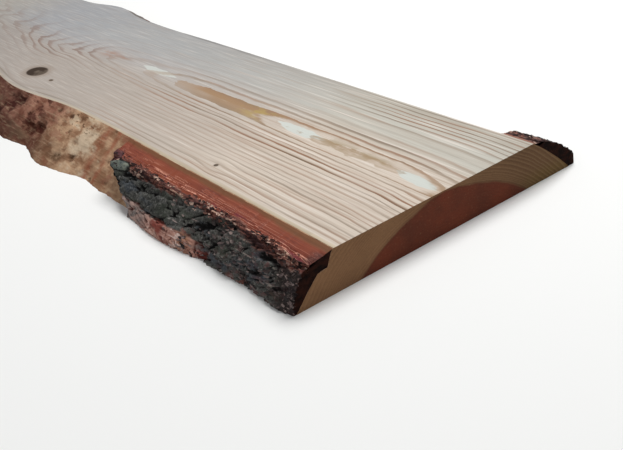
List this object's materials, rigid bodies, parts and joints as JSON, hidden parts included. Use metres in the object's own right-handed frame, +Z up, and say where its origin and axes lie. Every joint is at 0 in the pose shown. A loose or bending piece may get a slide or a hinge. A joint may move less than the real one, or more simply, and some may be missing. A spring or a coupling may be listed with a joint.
{
  "type": "waney-edge timber board",
  "caption": "Thick through-sawn timber board with flat faces, square-cut ends, natural waney edges and bark still holding on part of them.",
  "frame": {"origin": "on the sawn underside at mid-length, on the vertical plane through the log's pith line", "axes": "+X along the board towards the square-cut end that the picture shows, +Z up out of the narrower sawn face, so the edge with the long strip of bark is at -Y"},
  "size_m": [2, 0.4388, 0.05],
  "materials": {
    "wood": "rough sawn, bare",
    "bark": "natural bark, furrowed crust over red-brown inner layers"
  },
  "bodies": {
    "root": {"board": "wood", "near_edge_bark": "bark", "far_edge_bark": "bark"}
  },
  "joints": []
}
